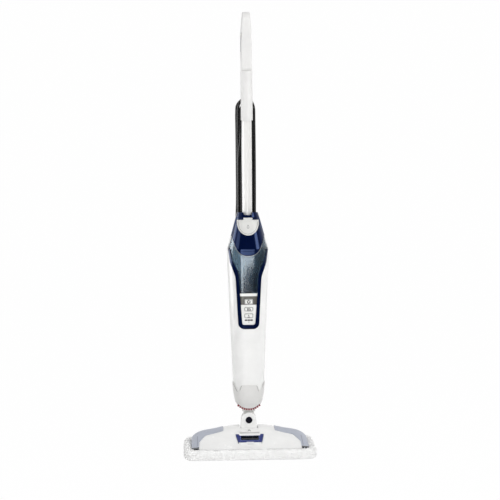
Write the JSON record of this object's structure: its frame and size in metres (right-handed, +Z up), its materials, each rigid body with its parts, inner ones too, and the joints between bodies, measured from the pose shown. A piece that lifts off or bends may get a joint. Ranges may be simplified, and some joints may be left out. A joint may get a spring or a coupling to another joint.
{
  "type": "steam mop",
  "caption": "Upright steam mop: fleece-padded head on a two-axis neck, slim white body with a tinted water tank, tube, loop handle and wound cord.",
  "frame": {"origin": "on the floor, under the middle of the pad's underside", "axes": "+Z up along the body at rest, the front with the tank and keys faces -Y, +X is to the right seen from the front"},
  "size_m": [0.343, 0.1946, 1.168],
  "materials": {
    "fleece": "fluffy microfibre",
    "white_plastic": "gloss",
    "grey_plastic": "satin",
    "trim_grey": "satin",
    "dark_trim": "gloss",
    "navy_plastic": "high gloss",
    "blue_plastic": "gloss",
    "tank_clear": "clear tinted plastic",
    "tube_metal": "satin silver-white",
    "steel": "brushed",
    "brass": "bare",
    "soft_grip": "soft touch",
    "cord_black": "satin",
    "red_plastic": "gloss",
    "panel_light": "gloss",
    "panel_dark": "gloss",
    "seal_grey": "matte",
    "cast_aluminium": "as cast",
    "inner_plastic": "matte",
    "circuit_green": "satin",
    "hose_silicone": "satin"
  },
  "bodies": {
    "head": {"mop_pad": "fleece", "head_base": "inner_plastic", "head_screws": "steel", "steam_plate": "inner_plastic", "steam_inlet": "inner_plastic", "head_cover": "white_plastic", "left_trim": "trim_grey", "right_trim": "trim_grey", "trim_tips": "dark_trim", "pedal_pin": "steel", "pivot_pins": "steel"},
    "pedal": {"scrub_pedal": "blue_plastic"},
    "yoke": {"yoke": "white_plastic", "pivot_bushes": "inner_plastic", "swivel_pin": "steel", "pin_cap": "navy_plastic", "pin_clip": "steel"},
    "body": {"neck": "grey_plastic", "front_shell": "white_plastic", "rear_shell": "white_plastic", "body_screws": "steel", "boot": "grey_plastic", "vent_ring": "red_plastic", "tank_frame": "navy_plastic", "control_panel": "panel_light", "display_band": "panel_dark", "circuit_board": "circuit_green", "tank_bay": "white_plastic", "valve_seat": "inner_plastic", "boiler": "cast_aluminium", "pump": "inner_plastic", "water_hose": "hose_silicone", "boiler_feed_hose": "hose_silicone", "steam_hose": "hose_silicone", "top_collar": "navy_plastic", "handle_tube": "tube_metal", "soft_grip": "soft_grip", "left_handle": "white_plastic", "right_handle": "white_plastic", "cord_clip": "grey_plastic", "hook_stud": "white_plastic", "lower_cord_hook": "navy_plastic", "cord_hank": "cord_black", "cord_lead": "cord_black", "cord_tail": "cord_black", "strain_relief": "cord_black", "plug": "cord_black", "plug_blades": "brass"},
    "power_key": {"power_button": "panel_light"},
    "high_steam_key": {"high_steam_button": "panel_light"},
    "low_steam_key": {"low_steam_button": "panel_light"},
    "tank": {"tank_shell": "tank_clear", "tank_seal": "seal_grey", "tank_valve": "inner_plastic", "tank_cap": "navy_plastic", "lid_pin": "steel"},
    "lid": {"filler_lid": "grey_plastic"},
    "cord_hook": {"upper_cord_hook": "white_plastic"}
  },
  "joints": [
    {"name": "body_tilt", "type": "hinge", "parent": "head", "child": "yoke", "pos_m": [0, 0.028, 0.05], "axis": [-1, 0, 0], "range_deg": [0, 75]},
    {"name": "body_swivel", "type": "hinge", "parent": "yoke", "child": "body", "pos_m": [0, 0.028, 0.086], "axis": [0, 1, 0], "range_deg": [-38, 38]},
    {"name": "pedal_press", "type": "hinge", "parent": "head", "child": "pedal", "pos_m": [0, -0.013, 0.04956], "axis": [1, 0, 0], "range_deg": [0, 7], "stiffness_Nm_per_rad": 0.6},
    {"name": "power_press", "type": "slide", "parent": "body", "child": "power_key", "axis": [0, 1, 0], "range_m": [0, 0.0008], "stiffness_N_per_m": 400},
    {"name": "high_steam_press", "type": "slide", "parent": "body", "child": "high_steam_key", "axis": [0, 1, 0], "range_m": [0, 0.0008], "stiffness_N_per_m": 400},
    {"name": "low_steam_press", "type": "slide", "parent": "body", "child": "low_steam_key", "axis": [0, 1, 0], "range_m": [0, 0.0008], "stiffness_N_per_m": 400},
    {"name": "tank_pull", "type": "slide", "parent": "body", "child": "tank", "axis": [0, -1, 0], "range_m": [0, 0.09]},
    {"name": "lid_flip", "type": "hinge", "parent": "tank", "child": "lid", "pos_m": [0, 0.00029, 0.6248], "axis": [-1, 0, 0], "range_deg": [0, 105]},
    {"name": "hook_turn", "type": "hinge", "parent": "body", "child": "cord_hook", "pos_m": [0, 0.06, 0.909], "axis": [0, 1, 0], "range_deg": [0, 180]}
  ]
}
